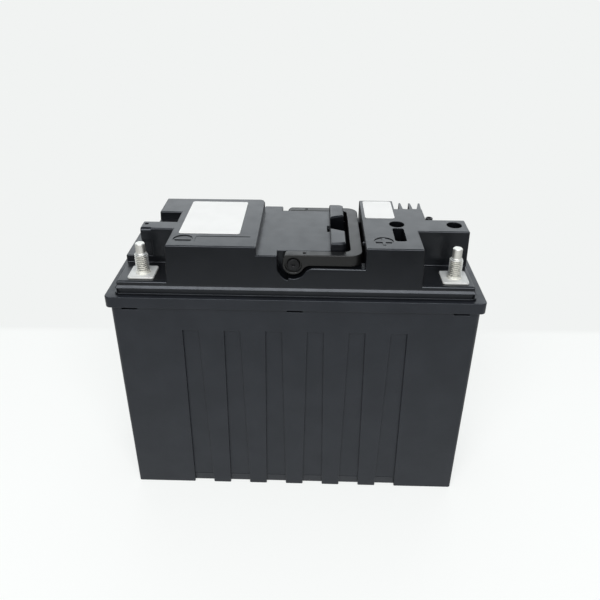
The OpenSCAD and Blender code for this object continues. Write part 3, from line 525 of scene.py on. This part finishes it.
# Terminal plates: square plates of tinned copper under the studs, which bring the current to them. They
# are stamped with rounded corners and lie in pockets of the decks.
plate_edge = 0.0003
plate_tin = rolled_metal(
    "satin_tin_plate", dark=(0.82, 0.82, 0.80, 1), light=(0.88, 0.88, 0.86, 1),
    smooth=0.72, rough=0.86, run="X")
for pole in ("negative", "positive"):
    plate = moulded_copy(pole + "_plate", "stamped_" + pole + "_plate")
    round_edges(plate, outer_edge(plate_edge))
    smooth_faces(plate)
    plate.data.materials.append(plate_tin)
    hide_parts(pole + "_plate")
    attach(plate, "case")


# Terminal studs: tin-plated studs, pressed into the plates, with a rolled thread between a plain foot and a
# plain turned tip. The thread is a real one: a ridge wound round a core that is turned to the thread's
# root. The core's faces at the root get a darker tin, which is painted shade in the thread's grooves.
head_radius = 0.0060
collar_radius = 0.0042
shank_radius = 0.0040
thread_crest = 0.0039
thread_root = 0.0032
tip_radius = 0.00275
tip_chamfer = 0.0004
head_bottom, head_top = 0.1540, 0.1560
shank_bottom = 0.1572
thread_bottom, thread_top = 0.1586, 0.16855
cone_top = 0.1697
cone_bottom = cone_top - (thread_root - tip_radius)
tip_top = 0.1755
turned_sides = 48
thread_pitch = 0.00125
ridge_half_foot = 0.42 * thread_pitch
ridge_half_flat = 0.09 * thread_pitch
ridge_overlap = 0.0002
ridge_steps = 36
stud_crease = math.radians(30)
stud_line_depth = 0.000005
stud_tin = rolled_metal(
    "bright_stud_tin", dark=(0.86, 0.85, 0.80, 1), light=(0.92, 0.91, 0.86, 1),
    smooth=0.46, rough=0.54, run="Z", depth=stud_line_depth)
# Painted shade: a darker tin on the core's faces at the thread's root stands in for the shade in the
# grooves.
painted_shade_root_tin = rolled_metal(
    "root_tin_painted_shade", dark=(0.16, 0.16, 0.15, 1), light=(0.24, 0.24, 0.23, 1),
    smooth=0.45, rough=0.55, run="Z", depth=stud_line_depth)


def turn_up(start, steps, location):
    """A turned piece: a disc of the start radius, drawn upwards through steps of (radius, height)."""
    bpy.ops.object.select_all(action="DESELECT")
    bpy.ops.mesh.primitive_circle_add(
        vertices=turned_sides, radius=start, fill_type="NGON", location=location)
    bpy.ops.object.transform_apply()
    bpy.ops.object.mode_set(mode="EDIT")
    radius, height = start, location[2]
    for next_radius, next_height in steps:
        rise = (0, 0, next_height - height)
        bpy.ops.mesh.extrude_region_move(TRANSFORM_OT_translate={"value": rise})
        grow = next_radius / radius
        bpy.ops.transform.resize(
            value=(grow, grow, 1), center_override=(location[0], location[1], next_height))
        radius, height = next_radius, next_height
    bpy.ops.mesh.select_all(action="SELECT")
    bpy.ops.mesh.normals_make_consistent(inside=False)
    bpy.ops.object.mode_set(mode="OBJECT")
    return bpy.context.object


def thread_ridge(x, y):
    """The thread: a flat-topped ridge, wound up the core by the Screw modifier and closed at both ends. It
    starts inside the plain foot and runs out in a cone under the tip."""
    corners = (
        # (distance from the axis, height over the middle of the ridge)
        (thread_root - ridge_overlap, -ridge_half_foot),
        (thread_crest, -ridge_half_flat),
        (thread_crest, ridge_half_flat),
        (thread_root - ridge_overlap, ridge_half_foot),
    )
    bpy.ops.object.select_all(action="DESELECT")
    bpy.ops.mesh.primitive_circle_add(vertices=len(corners))
    ridge = bpy.context.object
    for vertex, (radius, height) in zip(ridge.data.vertices, corners):
        vertex.co = (0, radius, height + thread_bottom - ridge_half_foot)
    winding = ridge.modifiers.new("winding", "SCREW")
    winding.axis = "Z"
    winding.screw_offset = thread_pitch
    winding.iterations = round((thread_top - thread_bottom) / thread_pitch) + 1
    winding.steps = winding.render_steps = ridge_steps
    bpy.ops.object.modifier_apply(modifier=winding.name)
    for vertex in ridge.data.vertices:
        reach = math.hypot(vertex.co.x, vertex.co.y)
        allowed = thread_crest - max(vertex.co.z - thread_top, 0)
        if reach > allowed:
            vertex.co.x *= allowed / reach
            vertex.co.y *= allowed / reach
    bpy.ops.object.mode_set(mode="EDIT")
    bpy.ops.mesh.select_all(action="SELECT")
    bpy.ops.mesh.fill_holes(sides=len(corners))
    bpy.ops.mesh.normals_make_consistent(inside=False)
    bpy.ops.transform.translate(value=(x, y, 0))
    bpy.ops.object.mode_set(mode="OBJECT")
    return ridge


for pole in ("negative", "positive"):
    low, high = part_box(pole + "_stud")
    centre_x = (low[0] + high[0]) / 2
    centre_y = (low[1] + high[1]) / 2
    ridge = thread_ridge(centre_x, centre_y)
    stud = turn_up(head_radius, [
        (head_radius, head_top),
        (collar_radius, head_top),
        (collar_radius, shank_bottom),
        (shank_radius, shank_bottom),
        (shank_radius, thread_bottom),
        (thread_root, thread_bottom),
        (thread_root, cone_bottom),
        (tip_radius, cone_top),
        (tip_radius, tip_top - tip_chamfer),
        (tip_radius - tip_chamfer, tip_top),
    ], (centre_x, centre_y, head_bottom))
    stud.name = "threaded_" + pole + "_stud"
    select_alone(stud)
    ridge.select_set(True)
    bpy.ops.object.join()
    bpy.ops.object.shade_smooth_by_angle(angle=stud_crease)
    stud.data.materials.append(stud_tin)
    stud.data.materials.append(painted_shade_root_tin)
    # The faces at the thread's root take the darker tin of painted shade.
    for face in stud.data.polygons:
        off_axis = math.hypot(face.center.x - centre_x, face.center.y - centre_y)
        painted_shade_at_root = off_axis < thread_root and thread_bottom < face.center.z < thread_top
        face.material_index = int(painted_shade_at_root)
    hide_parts(pole + "_stud")
    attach(stud, "case")


# Carry handle: a U-shaped loop of tough black plastic that lies folded round the platform and swings up.
# It is moulded in one piece, and its edges are broken for the hand.
handle_edge = 0.0005
carry_handle = moulded_copy("carry_handle", "rounded_carry_handle")
round_edges(carry_handle, outer_edge(handle_edge))
smooth_faces(carry_handle)
carry_handle.data.materials.append(moulded_plastic(
    "handle_plastic", dark=(0.0024, 0.0025, 0.0025, 1), light=(0.0038, 0.0039, 0.0039, 1),
    smooth=0.36, rough=0.44, grain=0.0007, depth=0.00003))
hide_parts("carry_handle")
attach(carry_handle, "handle")


# Handle pins: two plain turned pins of blackened steel with a centre mark in the end. They go through the
# handle's eyes into the cover, and the handle swings on them.
pin_edge = 0.0003
pin_black = rolled_metal(
    "blackened_pin_steel", dark=(0.026, 0.026, 0.027, 1), light=(0.040, 0.040, 0.042, 1),
    smooth=0.34, rough=0.46, run="Y")
for side in ("front", "back"):
    pin = moulded_copy("handle_pin_" + side, "turned_pin_" + side)
    round_edges(pin, outer_edge(pin_edge))
    smooth_faces(pin)
    pin.data.materials.append(pin_black)
    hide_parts("handle_pin_" + side)
    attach(pin, "case")


# Labels: two plain self-adhesive labels of white film. They are die-cut and pressed on by hand, so the
# film lies a little unevenly.
label_film, tree, shader, place = new_finish("white_label_film")
tint(tree, clouds(tree, place, size=0.012, detail=3), shader,
     dark=(0.830, 0.840, 0.830, 1), light=(0.855, 0.865, 0.855, 1))
sheen_spread(tree, clouds(tree, place, size=0.004, detail=4), shader, smooth=0.45, rough=0.60)
relief(tree, clouds(tree, place, size=0.003, detail=2), shader, depth=0.00003, strength=0.3)
for node in ("rating_label", "code_label"):
    dress(node, label_film)


# Table top: a white table that meets a slightly greyer backdrop along a soft line behind the battery. What
# the camera sees of it glows a little, so that it stays white. In reflections its colour is painted darker
# by distance, as painted shade, and fades into the dark half a metre from the battery.
floor_size = 16
wall_line = 0.1556
wall_blur = 0.006
wall_turn = math.radians(-1.39)
wall_edges = (wall_line - wall_blur, wall_line + wall_blur)
floor_white = (0.965, 0.982, 0.973, 1)
wall_white = (0.880, 0.896, 0.888, 1)
floor_glow, wall_glow = 0.65, 1
mirrored_glow = 0.4
mirrored_levels = (
    # (distance from the middle of the battery, brightness of the table in reflections, as painted shade)
    (0.11, 0.97),
    (0.25, 0.72),
    (0.36, 1.0),
    (0.42, 0.75),
    (0.47, 0.05),
)


def mixed(tree, share, first, second, way="MIX"):
    """Two colours mixed by a share. Each is a fixed colour or comes out of another node."""
    mix = tree.nodes.new("ShaderNodeMix")
    mix.data_type = "RGBA"
    mix.blend_type = way
    tree.links.new(share, mix.inputs["Factor"])
    for name, colour in (("A", first), ("B", second)):
        if isinstance(colour, bpy.types.NodeSocket):
            tree.links.new(colour, mix.inputs[name])
        else:
            mix.inputs[name].default_value = colour
    return mix.outputs["Result"]


bpy.ops.object.select_all(action="DESELECT")
bpy.ops.mesh.primitive_plane_add(size=floor_size)
floor = bpy.context.object
floor.name = "table_top"
table_top, tree, shader, place = new_finish("white_table_top")
tree.nodes.remove(shader)
rays = tree.nodes.new("ShaderNodeLightPath")
turned = tree.nodes.new("ShaderNodeMapping")
turned.inputs["Rotation"].default_value = (0, 0, wall_turn)
tree.links.new(place, turned.inputs["Vector"])
split = tree.nodes.new("ShaderNodeSeparateXYZ")
tree.links.new(turned.outputs["Vector"], split.inputs["Vector"])
table_depth = split.outputs["Y"]
wall_share = follow(tree, table_depth, *wall_edges, 0, 1, way="SMOOTHSTEP")
whites = mixed(tree, wall_share, floor_white, wall_white)
reach = tree.nodes.new("ShaderNodeVectorMath")
reach.operation = "LENGTH"
tree.links.new(place, reach.inputs[0])
# Painted shade: for glossy rays the table's colour darkens with distance, so that the battery's faces
# mirror it dimmer.
painted_reflection_shade = shades(tree, reach.outputs["Value"], [
    (distance, (level, level, level, 1)) for distance, level in mirrored_levels])
dimmed = mixed(tree, rays.outputs["Is Glossy Ray"], whites, painted_reflection_shade, way="MULTIPLY")
matte = tree.nodes.new("ShaderNodeBsdfDiffuse")
tree.links.new(dimmed, matte.inputs["Color"])
glow = tree.nodes.new("ShaderNodeEmission")
tree.links.new(dimmed, glow.inputs["Color"])
seen_glow = tree.nodes.new("ShaderNodeMath")
seen_glow.operation = "MULTIPLY"
tree.links.new(rays.outputs["Is Camera Ray"], seen_glow.inputs[0])
glow_level = follow(tree, table_depth, *wall_edges, floor_glow, wall_glow, way="SMOOTHSTEP")
tree.links.new(glow_level, seen_glow.inputs[1])
glow_share = tree.nodes.new("ShaderNodeMath")
glow_share.operation = "MULTIPLY_ADD"
glow_share.inputs[1].default_value = mirrored_glow
tree.links.new(rays.outputs["Is Glossy Ray"], glow_share.inputs[0])
tree.links.new(seen_glow.outputs["Value"], glow_share.inputs[2])
surface = tree.nodes.new("ShaderNodeMixShader")
tree.links.new(glow_share.outputs["Value"], surface.inputs["Fac"])
tree.links.new(matte.outputs["BSDF"], surface.inputs[1])
tree.links.new(glow.outputs["Emission"], surface.inputs[2])
tree.links.new(surface.outputs["Shader"], tree.nodes["Material Output"].inputs["Surface"])
floor.data.materials.append(table_top)


# Room light: an even light all round the battery. The camera sees the backdrop's white in its place, and
# glossy surfaces mirror a room that is pale at the sides and dark overhead.
room_light = (0.32, 0.32, 0.32, 1)
room_pale = (0.80, 0.84, 0.86, 1)
room_dark = (0.15, 0.18, 0.22, 1)
pale_up_to, dark_from = 0.25, 0.65
world = bpy.data.worlds.new("even_light_all_round")
scene.world = world
world.use_nodes = True
sky = world.node_tree
rays = sky.nodes.new("ShaderNodeLightPath")
upward = sky.nodes.new("ShaderNodeSeparateXYZ")
sky.links.new(sky.nodes.new("ShaderNodeTexCoord").outputs["Generated"], upward.inputs["Vector"])
mirrored_room = shades(sky, upward.outputs["Z"], [(pale_up_to, room_pale), (dark_from, room_dark)])
room = mixed(sky, rays.outputs["Is Glossy Ray"], room_light, mirrored_room)
backdrop = mixed(sky, rays.outputs["Is Camera Ray"], room, wall_white)
sky.links.new(backdrop, sky.nodes["Background"].inputs["Color"])


# Lamps: a large soft box behind the battery, whose light glides over the cover, and a narrower one in
# front, high up behind the camera.
def soft_lamp(name, location, turn, size, energy, colour):
    """A rectangular studio lamp that is turned about X by an angle in degrees."""
    bpy.ops.object.light_add(type="AREA", location=location, rotation=(math.radians(turn), 0, 0))
    lamp = bpy.context.object
    lamp.name = name
    lamp.data.shape = "RECTANGLE"
    lamp.data.size, lamp.data.size_y = size
    lamp.data.energy = energy
    lamp.data.color = colour


soft_lamp("soft_box_behind", location=(0, 1.55, 0.95), turn=-63,
          size=(2.6, 1.0), energy=10.4, colour=(0.96, 1.0, 1.02))
soft_lamp("lamp_in_front", location=(0, -1.210, 1.241), turn=47,
          size=(1.85, 0.62), energy=29, colour=(1.0, 1.0, 1.0))


# Camera: it stands in front of the battery and a little to the right, and looks down on it. Its place and
# its lens were fitted to the straight edges of the case.
camera_place = (0.010109, -0.350024, 0.324779)
camera_turn = (60.110, -0.356, 1.497)
camera_sensor = 36
camera_lens = 37.2066
nearest_seen = 0.01
bpy.ops.object.camera_add(location=camera_place, rotation=[math.radians(angle) for angle in camera_turn])
camera = bpy.context.object
camera.name = "photo_camera"
camera.data.sensor_width = camera_sensor
camera.data.lens = camera_lens
camera.data.clip_start = nearest_seen
scene.camera = camera
scene.view_settings.view_transform = "Standard"
